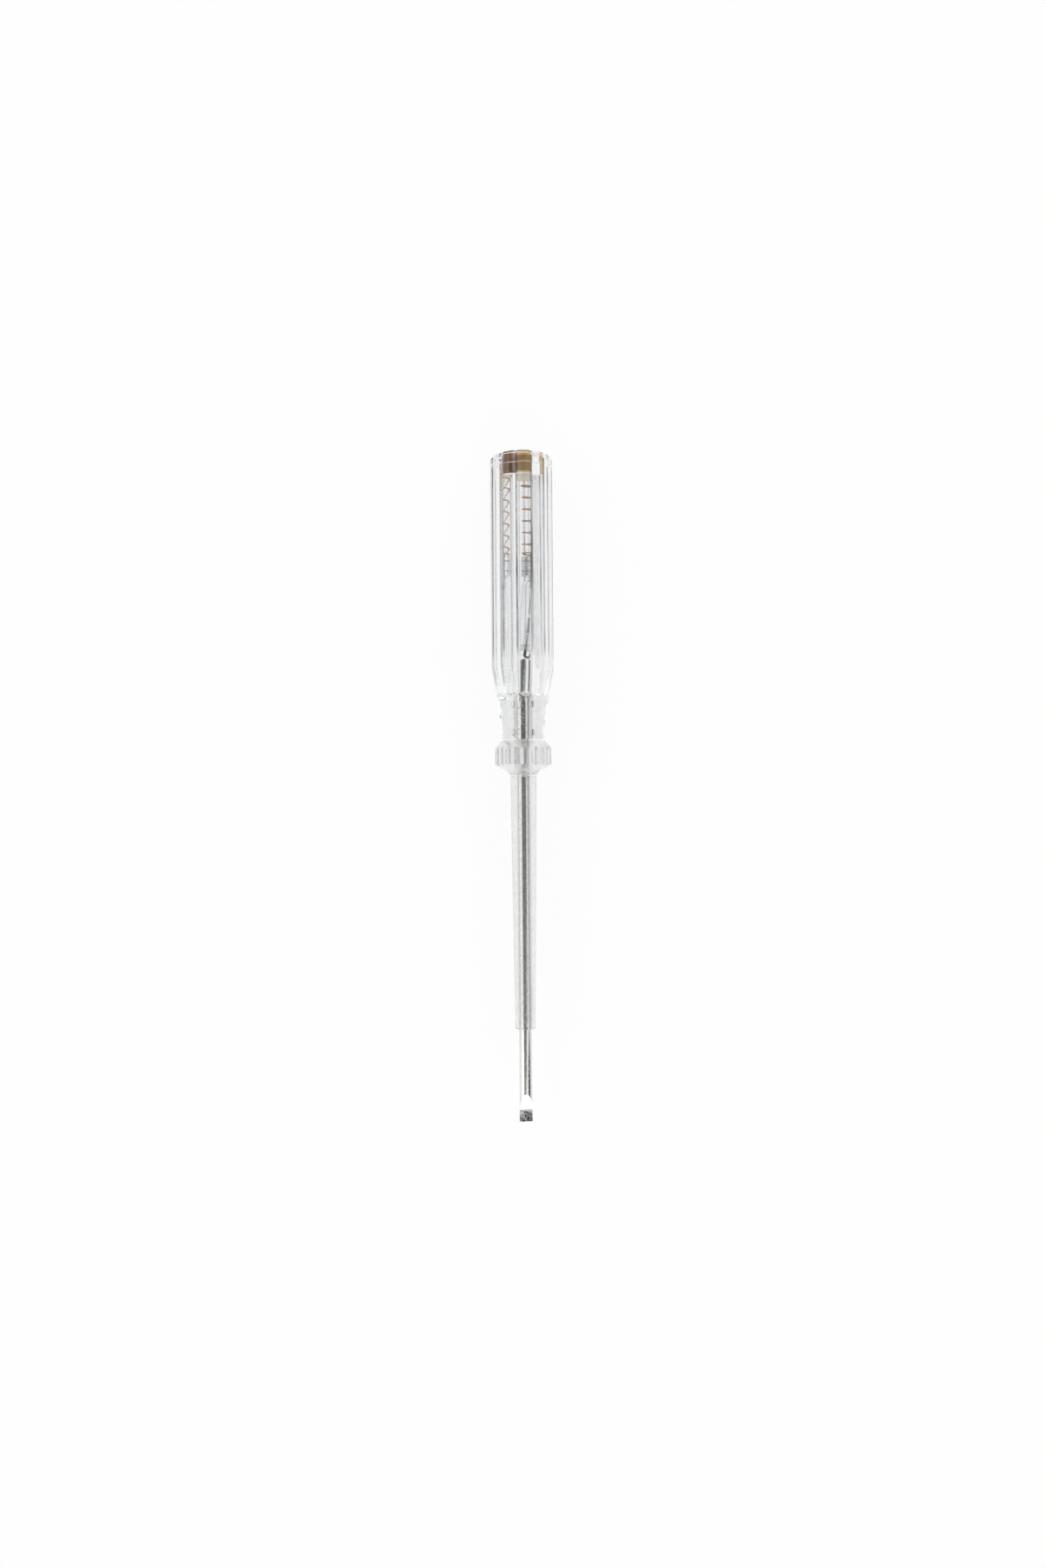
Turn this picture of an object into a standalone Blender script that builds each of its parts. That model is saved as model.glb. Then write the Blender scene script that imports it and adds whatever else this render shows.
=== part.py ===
"""Voltage tester screwdriver: a clear fluted handle with a neon lamp, resistor and spring inside.

Every piece is modelled upright, blade tip at the origin and end cap on top. One parent empty
then lays the whole tool along +X, resting on a flat of its handle, with +Z up.
Lengths are in metres.
"""

import math

import bmesh
import bpy

# Fits between neighbouring pieces
SEAT_GAP = 0.0003        # along the axis, where one piece rests on the next
SLIP_GAP = 0.0002        # all round a piece that is pushed into a bore
FINE_GAP = 0.00015       # in and round the wires, lamp and resistor
OVERRUN = 0.001          # how far a cutter reaches past the face that it opens
MERGE_DISTANCE = 0.00001

# Blade
BLADE_RADIUS = 0.00185
TIP_THICKNESS = 0.0007   # between the two parallel flats at the tip
TIP_FLAT_LENGTH = 0.0035
GRIND_LENGTH = 0.0047    # the sloping flats behind the tip
TANG_CHAMFER = 0.0004
EAR_SPAN = 0.0044        # pressed ears that key the blade in the neck
EAR_THICKNESS = 0.0012
EAR_LENGTH = 0.002
EAR_BEVEL = 0.0003
EAR_EDGE = 0.0012        # from each end of the neck's bore to its ear

# Insulating sleeve
BARE_LENGTH = 0.0268     # steel left bare below the sleeve
SLEEVE_LENGTH = 0.0722
SLEEVE_TOP_RADIUS = 0.0037
SLEEVE_END_RADIUS = 0.00295
SLEEVE_ROUNDING = 0.0005

# Guard collar
COLLAR_LENGTH = 0.0099
COLLAR_RADIUS = 0.0081
COLLAR_LOBES = 24
COLLAR_LOBE_CROWN = 0.00012
COLLAR_GROOVE_DEPTH = 0.0004
COLLAR_GROOVE_WIDTH = 0.0005

# Handle
HANDLE_LENGTH = 0.0802
HANDLE_FLAT_RADIUS = 0.009    # from the axis to the flat middle of a lobe
NECK_RADIUS = 0.00585
HANDLE_LOBES = 12
HANDLE_LOBE_CROWN = 0.00075   # fall of a lobe from its flat middle to its grooves
HANDLE_GROOVE_DEPTH = 0.0004
HANDLE_GROOVE_WIDTH = 0.0006
TAPER_LENGTH = 0.0224
RIM_ROUNDING = 0.001
NECK_PLUG_LENGTH = 0.0125     # solid plastic round the blade
LAMP_BORE_RADIUS = 0.0048
TANG_REACH = 0.0103           # blade standing up in the lamp bore

# End cap
CAP_RIM_RADIUS = 0.0054
CAP_RIM_LENGTH = 0.0025
CAP_PLUG_RADIUS = 0.0051
CAP_PLUG_LENGTH = 0.0032
CAP_PROUD = 0.0003
CAP_EDGE = 0.0005

# Contact spring
STACK_OFFSET = 0.0015         # spring and resistor lie this far to one side of the axis
SPRING_WIRE_RADIUS = 0.000175
SPRING_RADIUS = 0.0026        # to the middle of the wire
SPRING_WIDE_RADIUS = 0.0028   # the turn against the cap
SPRING_OPEN_TURNS = 5.5
SPRING_CLOSED_LEAD = 0.0008   # rise of the closed turn on the resistor
SPRING_WIDE_LEAD = 0.0029     # rise of the wide turn
SPRING_TURN_POINTS = 14

# Neon lamp
LAMP_LENGTH = 0.02
LAMP_RADIUS = 0.0028
LAMP_WALL = 0.00035
LAMP_MOUTH_RADIUS = 0.0015
LAMP_SHOULDER = 0.0021
LAMP_LEAN = math.radians(6.5)  # the lamp leans across the bore, down to the blade's end
LAMP_SEAL_LENGTH = 0.0018
LAMP_LEAD_RADIUS = 0.0002
ELECTRODE_RADIUS = 0.0008
ELECTRODE_LENGTH = 0.0045
ELECTRODE_SPACE = 0.0011
HOOK_RADIUS = 0.00065         # to the middle of the wire
HOOK_SHANK = 0.0012           # straight wire between the lamp and the hook's bend
HOOK_WIRE_RADIUS = 0.00025

# Resistor
RESISTOR_LENGTH = 0.0055
RESISTOR_RADIUS = 0.0029
RESISTOR_CORE_RADIUS = 0.0024
RESISTOR_CAP_LENGTH = 0.0013
RESISTOR_CAP_WALL = 0.0003
RESISTOR_LEAD_RADIUS = 0.00025
RESISTOR_STUB = 0.0012        # trimmed lead standing up inside the spring
BEAD_LENGTH = 0.0008
BEAD_RADIUS = 0.00075

# Facets round turned pieces
LARGE_STEPS = 72
MIDDLE_STEPS = 40
SMALL_STEPS = 20
ARC_POINTS = 4
SMOOTH_ANGLE = math.radians(30)

# The chain of places along the axis, up from the tip
SLEEVE_BOTTOM = BARE_LENGTH
SLEEVE_TOP = SLEEVE_BOTTOM + SLEEVE_LENGTH
COLLAR_BOTTOM = SLEEVE_TOP + SEAT_GAP
COLLAR_TOP = COLLAR_BOTTOM + COLLAR_LENGTH
HANDLE_BOTTOM = COLLAR_TOP + SEAT_GAP
HANDLE_TOP = HANDLE_BOTTOM + HANDLE_LENGTH
BORE_FLOOR = HANDLE_BOTTOM + NECK_PLUG_LENGTH
TANG_TOP = BORE_FLOOR + TANG_REACH
LEAN_LIFT = LAMP_LENGTH * (1 - math.cos(LAMP_LEAN))
HOOK_CENTRE = TANG_TOP + SEAT_GAP + HOOK_WIRE_RADIUS + HOOK_RADIUS - LEAN_LIFT
LAMP_BOTTOM = HOOK_CENTRE + HOOK_SHANK
LAMP_TOP = LAMP_BOTTOM + LAMP_LENGTH
BEAD_BOTTOM = LAMP_TOP + SLIP_GAP
BEAD_TOP = BEAD_BOTTOM + BEAD_LENGTH
BEAD_MIDDLE = (BEAD_BOTTOM + BEAD_TOP) / 2
RESISTOR_BOTTOM = BEAD_TOP + SLIP_GAP
RESISTOR_TOP = RESISTOR_BOTTOM + RESISTOR_LENGTH
CAP_TOP = HANDLE_TOP + CAP_PROUD
CAP_STEP = CAP_TOP - CAP_RIM_LENGTH
CAP_BOTTOM = CAP_STEP - CAP_PLUG_LENGTH
ELECTRODES_MIDDLE = (LAMP_BOTTOM + LAMP_TOP) / 2

# Flat middle of a lobe, as a share of the lobe's width
LOBE_FLAT_SHARE = 0.8
# Shares of the taper's length and of its growth in radius, up from the collar
TAPER_SHARES = [(0.0, 0.0), (0.09, 0.07), (0.22, 0.18), (0.40, 0.36), (0.58, 0.55), (1.0, 1.0)]
# Shares of the collar's radius and of its length, down the outside from its top
COLLAR_SHARES = [(0.73, 1.0), (0.82, 0.94), (0.94, 0.83), (1.02, 0.73), (1.02, 0.31),
                 (0.81, 0.22), (0.58, 0.12), (0.48, 0.0)]


def clear_scene():
    for item in list(bpy.data.objects):
        bpy.data.objects.remove(item, do_unlink=True)


def new_collection(name):
    group = bpy.data.collections.new(name)
    bpy.context.scene.collection.children.link(group)
    return group


def make_material(name, color, roughness, metallic=0.0, transmission=0.0):
    look = bpy.data.materials.new(name)
    look.use_nodes = True
    shader = look.node_tree.nodes["Principled BSDF"]
    shader.inputs["Base Color"].default_value = (*color, 1.0)
    shader.inputs["Roughness"].default_value = roughness
    shader.inputs["Metallic"].default_value = metallic
    shader.inputs["Transmission Weight"].default_value = transmission
    return look


clear_scene()
tool_parts = new_collection("voltage_tester_screwdriver")
cutters = new_collection("cutters")
lying_axis = bpy.data.objects.new("lying_axis", None)
tool_parts.objects.link(lying_axis)
lying_axis.rotation_euler = (0.0, math.radians(90), 0.0)
# The spring and resistor share an axis to one side of the tool's own; the lamp leans from it
stack_axis = bpy.data.objects.new("stack_axis", None)
lamp_axis = bpy.data.objects.new("lamp_axis", None)
for axis in (stack_axis, lamp_axis):
    tool_parts.objects.link(axis)
    axis.parent = lying_axis
stack_axis.location = (0.0, STACK_OFFSET, 0.0)
lamp_axis.location = (
    0.0, STACK_OFFSET - BEAD_MIDDLE * math.sin(LAMP_LEAN), BEAD_MIDDLE * (1 - math.cos(LAMP_LEAN)))
lamp_axis.rotation_euler = (-LAMP_LEAN, 0.0, 0.0)


def add_object(name, data, group=tool_parts):
    """Link a new object under the lying axis; a cutter is drawn as wire and never rendered."""
    item = bpy.data.objects.new(name, data)
    group.objects.link(item)
    item.parent = lying_axis
    if group is cutters:
        item.hide_render = True
        item.display_type = "WIRE"
    return item


def turned(name, profile, steps, group=tool_parts):
    """Solid of revolution. The profile's (radius, height) points run from the top down the outside.

    A profile that starts and ends on the axis stays open there; any other is closed into a ring.
    """
    edges = [(i, i + 1) for i in range(len(profile) - 1)]
    if profile[0][0] > 0:
        edges.append((len(profile) - 1, 0))
    mesh = bpy.data.meshes.new(name)
    mesh.from_pydata([(radius, 0.0, height) for radius, height in profile], edges, [])
    item = add_object(name, mesh, group)
    screw = item.modifiers.new("turn", "SCREW")
    screw.axis = "Z"
    screw.angle = math.tau
    screw.steps = steps
    screw.render_steps = steps
    screw.use_merge_vertices = True
    screw.merge_threshold = MERGE_DISTANCE
    return item


def bake(item):
    """Replace a curve, or a mesh with modifiers, by its evaluated mesh with its caps welded."""
    view = bpy.context.evaluated_depsgraph_get()
    mesh = bpy.data.meshes.new_from_object(item.evaluated_get(view))
    work = bmesh.new()
    work.from_mesh(mesh)
    bmesh.ops.remove_doubles(work, verts=work.verts, dist=MERGE_DISTANCE)
    work.to_mesh(mesh)
    work.free()
    if item.type == "MESH":
        item.modifiers.clear()
        item.data = mesh
        return item
    name, group, place = item.name, item.users_collection[0], item.matrix_basis.copy()
    bpy.data.objects.remove(item, do_unlink=True)
    solid = add_object(name, mesh, group)
    solid.matrix_basis = place
    return solid


def prism(name, outline, bottom, top, group=cutters):
    """Flat outline of (x, y) points, extruded from one height to another."""
    flat = bpy.data.curves.new(name, "CURVE")
    flat.dimensions = "2D"
    flat.fill_mode = "BOTH"
    flat.extrude = (top - bottom) / 2
    spline = flat.splines.new("POLY")
    spline.points.add(len(outline) - 1)
    for point, (x, y) in zip(spline.points, outline):
        point.co = (x, y, 0.0, 1.0)
    spline.use_cyclic_u = True
    item = add_object(name, flat, group)
    item.location.z = (bottom + top) / 2
    return bake(item)


def box(name, size, centre, group=cutters):
    mesh = bpy.data.meshes.new(name)
    work = bmesh.new()
    bmesh.ops.create_cube(work, size=1.0)
    bmesh.ops.scale(work, vec=size, verts=work.verts)
    work.to_mesh(mesh)
    work.free()
    item = add_object(name, mesh, group)
    item.location = centre
    return item


def combine(item, other, operation):
    """Add a Boolean with another object: DIFFERENCE, INTERSECT or UNION."""
    step = item.modifiers.new(other.name, "BOOLEAN")
    step.operation = operation
    step.solver = "EXACT"
    step.object = other
    return item


def tube(name, points, radius, resolution=2):
    """Round wire along a list of points, with closed ends."""
    wire = bpy.data.curves.new(name, "CURVE")
    wire.dimensions = "3D"
    wire.bevel_depth = radius
    wire.bevel_resolution = resolution
    wire.use_fill_caps = True
    spline = wire.splines.new("POLY")
    spline.points.add(len(points) - 1)
    for point, place in zip(spline.points, points):
        point.co = (*place, 1.0)
    return add_object(name, wire)


def finish(item, look, axis=lying_axis):
    """Put a piece on its axis with its material, and shade round faces smooth and edges sharp."""
    item.parent = axis
    item.data.materials.clear()
    item.data.materials.append(look)
    if item.type == "MESH":
        item = bake(item)
        item.data.shade_smooth()
        item.data.set_sharp_from_angle(angle=SMOOTH_ANGLE)
    return item


def quarter_arc(centre, radius, start, end):
    """Points of an arc in the (radius, height) plane, angles in degrees from outward to up."""
    angles = [start + (end - start) * i / ARC_POINTS for i in range(ARC_POINTS + 1)]
    turns = [math.radians(angle) for angle in angles]
    return [(centre[0] + radius * math.cos(a), centre[1] + radius * math.sin(a)) for a in turns]


def lobed_outline(count, flat_radius, crown, groove_width, groove_depth):
    """Ring of lobes with a V groove between neighbours; the middle of the first one faces +X.

    A lobe is flat in the middle and falls away by its crown towards each groove.
    """
    half_step = math.pi / count
    base = flat_radius - crown
    reach = base * math.tan(half_step) - groove_width / 2
    root = math.hypot(base, reach) - groove_depth
    lobe = [(base, -reach), (flat_radius, -reach * LOBE_FLAT_SHARE),
            (flat_radius, reach * LOBE_FLAT_SHARE), (base, reach),
            (root * math.cos(half_step), root * math.sin(half_step))]
    outline = []
    for number in range(count):
        turn = 2 * half_step * number
        for out, across in lobe:
            x = out * math.cos(turn) - across * math.sin(turn)
            y = out * math.sin(turn) + across * math.cos(turn)
            outline.append((x, y))
    return outline


def make_blade(look):
    """Round steel rod with a ground tip, two pairs of pressed ears and a plain tang."""
    rod = [
        (0.0, TANG_TOP),
        (BLADE_RADIUS - TANG_CHAMFER, TANG_TOP),
        (BLADE_RADIUS, TANG_TOP - TANG_CHAMFER),
        (BLADE_RADIUS, 0.0),
        (0.0, 0.0),
    ]
    blade = turned("blade", rod, MIDDLE_STEPS)
    half_tip = TIP_THICKNESS / 2
    slope = GRIND_LENGTH / (BLADE_RADIUS - half_tip)
    clear = BLADE_RADIUS + OVERRUN
    grind_top = TIP_FLAT_LENGTH + slope * (clear - half_tip)
    outline = [(half_tip, -OVERRUN), (clear, -OVERRUN), (clear, grind_top), (half_tip, TIP_FLAT_LENGTH)]
    for side, turn in (("lower", 0.0), ("upper", math.pi)):
        grind = prism(f"{side}_grind_cutter", outline, -clear, clear)
        grind.rotation_euler = (math.radians(90), 0.0, turn)
        combine(blade, grind, "DIFFERENCE")
    for ear in ear_places():
        size = (EAR_THICKNESS, EAR_SPAN, EAR_LENGTH)
        shape = box("ear_shape", size, (0.0, 0.0, ear))
        rounding = shape.modifiers.new("rounding", "BEVEL")
        rounding.width = EAR_BEVEL
        rounding.segments = 1
        combine(blade, bake(shape), "UNION")
    return finish(blade, look)


def ear_places():
    """Heights of the two pairs of ears inside the neck."""
    return (HANDLE_BOTTOM + EAR_EDGE + EAR_LENGTH / 2, BORE_FLOOR - EAR_EDGE - EAR_LENGTH / 2)


def make_sleeve(look):
    """Thin clear tube, narrowing towards the tip, on the bare rod."""
    bore = BLADE_RADIUS + FINE_GAP
    centre = (SLEEVE_END_RADIUS - SLEEVE_ROUNDING, SLEEVE_BOTTOM + SLEEVE_ROUNDING)
    profile = [(SLEEVE_TOP_RADIUS, SLEEVE_TOP)]
    profile += quarter_arc(centre, SLEEVE_ROUNDING, 0, -90)
    profile += [(bore, SLEEVE_BOTTOM), (bore, SLEEVE_TOP)]
    return finish(turned("insulating_sleeve", profile, MIDDLE_STEPS), look)


def make_collar(look):
    """Fluted finger guard between the sleeve and the handle's neck."""
    bore = BLADE_RADIUS + FINE_GAP
    outside = [
        (COLLAR_RADIUS * radius, COLLAR_BOTTOM + COLLAR_LENGTH * height)
        for radius, height in COLLAR_SHARES
    ]
    collar = turned("guard_collar", outside + [(bore, COLLAR_BOTTOM), (bore, COLLAR_TOP)], LARGE_STEPS)
    outline = lobed_outline(
        COLLAR_LOBES, COLLAR_RADIUS, COLLAR_LOBE_CROWN, COLLAR_GROOVE_WIDTH, COLLAR_GROOVE_DEPTH)
    flutes = prism("collar_flutes", outline, COLLAR_BOTTOM - OVERRUN, COLLAR_TOP + OVERRUN)
    combine(collar, flutes, "INTERSECT")
    return finish(collar, look)


def make_handle(look):
    """Clear handle: round taper, twelve lobes with grooves between them, and one stepped bore."""
    outer = HANDLE_FLAT_RADIUS / math.cos(math.pi / HANDLE_LOBES)
    rim_centre = (outer - RIM_ROUNDING, HANDLE_TOP - RIM_ROUNDING)
    growth = outer - NECK_RADIUS
    taper = [
        (NECK_RADIUS + growth * radius, HANDLE_BOTTOM + TAPER_LENGTH * height)
        for height, radius in reversed(TAPER_SHARES)
    ]
    outside = [(0.0, HANDLE_TOP)] + quarter_arc(rim_centre, RIM_ROUNDING, 90, 0)
    handle = turned("handle_body", outside + taper + [(0.0, HANDLE_BOTTOM)], LARGE_STEPS)
    outline = lobed_outline(
        HANDLE_LOBES, HANDLE_FLAT_RADIUS, HANDLE_LOBE_CROWN, HANDLE_GROOVE_WIDTH, HANDLE_GROOVE_DEPTH)
    flutes = prism("handle_flutes", outline, HANDLE_BOTTOM - OVERRUN, HANDLE_TOP + OVERRUN)
    combine(handle, flutes, "INTERSECT")

    rim_bore = CAP_RIM_RADIUS + SLIP_GAP
    plug_bore = CAP_PLUG_RADIUS + SLIP_GAP
    neck_bore = BLADE_RADIUS + SLIP_GAP
    bore = turned("stepped_bore_cutter", [
        (0.0, HANDLE_TOP + OVERRUN),
        (rim_bore, HANDLE_TOP + OVERRUN),
        (rim_bore, CAP_STEP - SEAT_GAP),
        (plug_bore, CAP_STEP - SEAT_GAP),
        (plug_bore, CAP_BOTTOM - SEAT_GAP),
        (LAMP_BORE_RADIUS, CAP_BOTTOM - SEAT_GAP),
        (LAMP_BORE_RADIUS, BORE_FLOOR),
        (neck_bore, BORE_FLOOR),
        (neck_bore, HANDLE_BOTTOM - OVERRUN),
        (0.0, HANDLE_BOTTOM - OVERRUN),
    ], MIDDLE_STEPS, cutters)
    combine(handle, bore, "DIFFERENCE")
    slot = [size + 2 * SLIP_GAP for size in (EAR_THICKNESS, EAR_SPAN, EAR_LENGTH)]
    for ear in ear_places():
        combine(handle, box("ear_slot_cutter", slot, (0.0, 0.0, ear)), "DIFFERENCE")
    return finish(handle, look)


def make_end_cap(look):
    """Brass plug with a wider rim; the spring bears on its flat lower end."""
    return finish(turned("end_cap", [
        (0.0, CAP_TOP),
        (CAP_RIM_RADIUS - CAP_EDGE, CAP_TOP),
        (CAP_RIM_RADIUS, CAP_TOP - CAP_EDGE),
        (CAP_RIM_RADIUS, CAP_STEP),
        (CAP_PLUG_RADIUS, CAP_STEP),
        (CAP_PLUG_RADIUS, CAP_BOTTOM + CAP_EDGE),
        (CAP_PLUG_RADIUS - CAP_EDGE, CAP_BOTTOM),
        (0.0, CAP_BOTTOM),
    ], MIDDLE_STEPS), look)


def spring_points():
    """Middle of the wire: one closed turn, the open turns, then one wide turn against the cap."""
    bottom = RESISTOR_TOP + SEAT_GAP + SPRING_WIRE_RADIUS
    top = CAP_BOTTOM - SEAT_GAP - SPRING_WIRE_RADIUS
    open_rise = top - bottom - SPRING_CLOSED_LEAD - SPRING_WIDE_LEAD
    turns = 2 + SPRING_OPEN_TURNS
    count = round(turns * SPRING_TURN_POINTS)
    points = []
    for i in range(count + 1):
        turn = turns * i / count
        opened = min(max(turn - 1, 0.0), SPRING_OPEN_TURNS)
        widened = max(turn - 1 - SPRING_OPEN_TURNS, 0.0)
        height = bottom + SPRING_CLOSED_LEAD * min(turn, 1.0)
        height += open_rise * opened / SPRING_OPEN_TURNS + SPRING_WIDE_LEAD * widened
        blend = min(max(turn - SPRING_OPEN_TURNS, 0.0), 1.0)
        radius = SPRING_RADIUS + (SPRING_WIDE_RADIUS - SPRING_RADIUS) * blend
        angle = math.tau * turn
        points.append((radius * math.cos(angle), radius * math.sin(angle), height))
    return points


def least_gap(points, apart, radius):
    """Shortest clear distance between stretches of one wire that lie some points apart."""
    least = min(
        math.dist(points[i], points[j])
        for i in range(len(points))
        for j in range(i + apart, len(points))
    )
    return least - 2 * radius


def make_spring(look):
    points = spring_points()
    gap = least_gap(points, SPRING_TURN_POINTS // 2, SPRING_WIRE_RADIUS)
    print(f"contact_spring: least gap to itself {gap * 1000:.3f} mm")
    return finish(tube("contact_spring", points, SPRING_WIRE_RADIUS, resolution=1), look, stack_axis)


def ring(name, outer, inner, bottom, top):
    """Plain round bush between two heights."""
    return turned(name, [(outer, top), (outer, bottom), (inner, bottom), (inner, top)], SMALL_STEPS)


def rod(name, radius, bottom, top):
    return turned(name, [(0.0, top), (radius, top), (radius, bottom), (0.0, bottom)], SMALL_STEPS)


def make_lamp(glass, seal, electrode, lead):
    """Glass tube drawn in at both ends, a glass seal and a lead in each end, and two electrodes."""
    outer_mouth = LAMP_MOUTH_RADIUS
    inner_mouth = LAMP_MOUTH_RADIUS - LAMP_WALL
    inner = LAMP_RADIUS - LAMP_WALL
    inner_shoulder = LAMP_SHOULDER + LAMP_WALL
    finish(turned("lamp_envelope", [
        (outer_mouth, LAMP_TOP),
        (LAMP_RADIUS, LAMP_TOP - LAMP_SHOULDER),
        (LAMP_RADIUS, LAMP_BOTTOM + LAMP_SHOULDER),
        (outer_mouth, LAMP_BOTTOM),
        (inner_mouth, LAMP_BOTTOM),
        (inner, LAMP_BOTTOM + inner_shoulder),
        (inner, LAMP_TOP - inner_shoulder),
        (inner_mouth, LAMP_TOP),
    ], MIDDLE_STEPS), glass, lamp_axis)

    seal_radius = inner_mouth - FINE_GAP
    upper_hole = LAMP_LEAD_RADIUS + FINE_GAP
    lower_hole = HOOK_WIRE_RADIUS + FINE_GAP
    finish(ring("lamp_upper_seal", seal_radius, upper_hole, LAMP_TOP - LAMP_SEAL_LENGTH, LAMP_TOP),
           seal, lamp_axis)
    finish(ring("lamp_lower_seal", seal_radius, lower_hole, LAMP_BOTTOM,
                LAMP_BOTTOM + LAMP_SEAL_LENGTH), seal, lamp_axis)

    upper_bottom = ELECTRODES_MIDDLE + ELECTRODE_SPACE / 2
    upper_top = upper_bottom + ELECTRODE_LENGTH
    lower_top = ELECTRODES_MIDDLE - ELECTRODE_SPACE / 2
    lower_bottom = lower_top - ELECTRODE_LENGTH
    finish(rod("upper_electrode", ELECTRODE_RADIUS, upper_bottom, upper_top), electrode, lamp_axis)
    finish(rod("lower_electrode", ELECTRODE_RADIUS, lower_bottom, lower_top), electrode, lamp_axis)

    upper_lead = [(0.0, 0.0, upper_top + FINE_GAP), (0.0, 0.0, BEAD_MIDDLE - FINE_GAP / 2)]
    finish(tube("lamp_upper_lead", upper_lead, LAMP_LEAD_RADIUS), lead, lamp_axis)
    hook = [(0.0, 0.0, lower_bottom - FINE_GAP), (0.0, 0.0, HOOK_CENTRE)]
    for angle in range(30, 211, 30):
        turn = math.radians(angle)
        hook.append((0.0, HOOK_RADIUS * (1 - math.cos(turn)), HOOK_CENTRE - HOOK_RADIUS * math.sin(turn)))
    finish(tube("lamp_lower_lead", hook, HOOK_WIRE_RADIUS), lead, lamp_axis)


def make_resistor(ceramic, coating, metal, lead, solder):
    """Film resistor: ceramic core, coat, two pressed end caps, two leads and a soldered joint."""
    core_ends = RESISTOR_CAP_WALL + FINE_GAP
    bottom, top = RESISTOR_BOTTOM, RESISTOR_TOP
    finish(rod("resistor_core", RESISTOR_CORE_RADIUS, bottom + core_ends, top - core_ends),
           ceramic, stack_axis)

    skirt = RESISTOR_CORE_RADIUS + FINE_GAP
    hole = RESISTOR_LEAD_RADIUS + FINE_GAP
    coat_ends = RESISTOR_CAP_LENGTH + FINE_GAP
    finish(ring("resistor_coat", RESISTOR_RADIUS, skirt, bottom + coat_ends, top - coat_ends),
           coating, stack_axis)
    finish(turned("resistor_upper_cap", [
        (RESISTOR_RADIUS, top),
        (RESISTOR_RADIUS, top - RESISTOR_CAP_LENGTH),
        (skirt, top - RESISTOR_CAP_LENGTH),
        (skirt, top - RESISTOR_CAP_WALL),
        (hole, top - RESISTOR_CAP_WALL),
        (hole, top),
    ], MIDDLE_STEPS), metal, stack_axis)
    finish(turned("resistor_lower_cap", [
        (RESISTOR_RADIUS, bottom + RESISTOR_CAP_LENGTH),
        (RESISTOR_RADIUS, bottom),
        (hole, bottom),
        (hole, bottom + RESISTOR_CAP_WALL),
        (skirt, bottom + RESISTOR_CAP_WALL),
        (skirt, bottom + RESISTOR_CAP_LENGTH),
    ], MIDDLE_STEPS), metal, stack_axis)

    upper = [(0.0, 0.0, top - RESISTOR_CAP_WALL), (0.0, 0.0, top + RESISTOR_STUB)]
    lower = [(0.0, 0.0, bottom + RESISTOR_CAP_WALL), (0.0, 0.0, BEAD_MIDDLE + FINE_GAP / 2)]
    finish(tube("resistor_upper_lead", upper, RESISTOR_LEAD_RADIUS), lead, stack_axis)
    finish(tube("resistor_lower_lead", lower, RESISTOR_LEAD_RADIUS), lead, stack_axis)
    finish(ring("solder_joint", BEAD_RADIUS, hole, BEAD_BOTTOM, BEAD_TOP), solder, stack_axis)


clear_plastic = make_material("clear_plastic", (0.93, 0.94, 0.95), 0.08, transmission=1.0)
collar_plastic = make_material("collar_plastic", (0.90, 0.91, 0.92), 0.12, transmission=1.0)
sleeve_plastic = make_material("sleeve_plastic", (0.88, 0.89, 0.90), 0.2, transmission=1.0)
blade_steel = make_material("blade_steel", (0.62, 0.61, 0.59), 0.25, metallic=1.0)
cap_brass = make_material("cap_brass", (0.72, 0.52, 0.25), 0.3, metallic=1.0)
spring_bronze = make_material("spring_bronze", (0.66, 0.45, 0.27), 0.35, metallic=1.0)
lamp_glass = make_material("lamp_glass", (0.95, 0.96, 0.97), 0.03, transmission=1.0)
seal_glass = make_material("seal_glass", (0.80, 0.84, 0.82), 0.05, transmission=1.0)
electrode_nickel = make_material("electrode_nickel", (0.45, 0.44, 0.43), 0.4, metallic=1.0)
lead_wire = make_material("lead_wire", (0.18, 0.17, 0.16), 0.45, metallic=1.0)
resistor_ceramic = make_material("resistor_ceramic", (0.75, 0.72, 0.66), 0.6)
resistor_lacquer = make_material("resistor_lacquer", (0.20, 0.20, 0.21), 0.35)
cap_tin = make_material("cap_tin", (0.60, 0.60, 0.61), 0.3, metallic=1.0)
solder_grey = make_material("solder_grey", (0.55, 0.55, 0.56), 0.4, metallic=1.0)

make_blade(blade_steel)
make_sleeve(sleeve_plastic)
make_collar(collar_plastic)
make_handle(clear_plastic)
make_end_cap(cap_brass)
make_spring(spring_bronze)
make_lamp(lamp_glass, seal_glass, electrode_nickel, lead_wire)
make_resistor(resistor_ceramic, resistor_lacquer, cap_tin, lead_wire, solder_grey)
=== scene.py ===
"""Looks of the voltage tester screwdriver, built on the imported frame.

The tool lies along +X with its tip at the origin. Lengths are in metres.
"""

import math

import bmesh
import bpy
import numpy as np
from mathutils import Matrix, Vector


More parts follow.
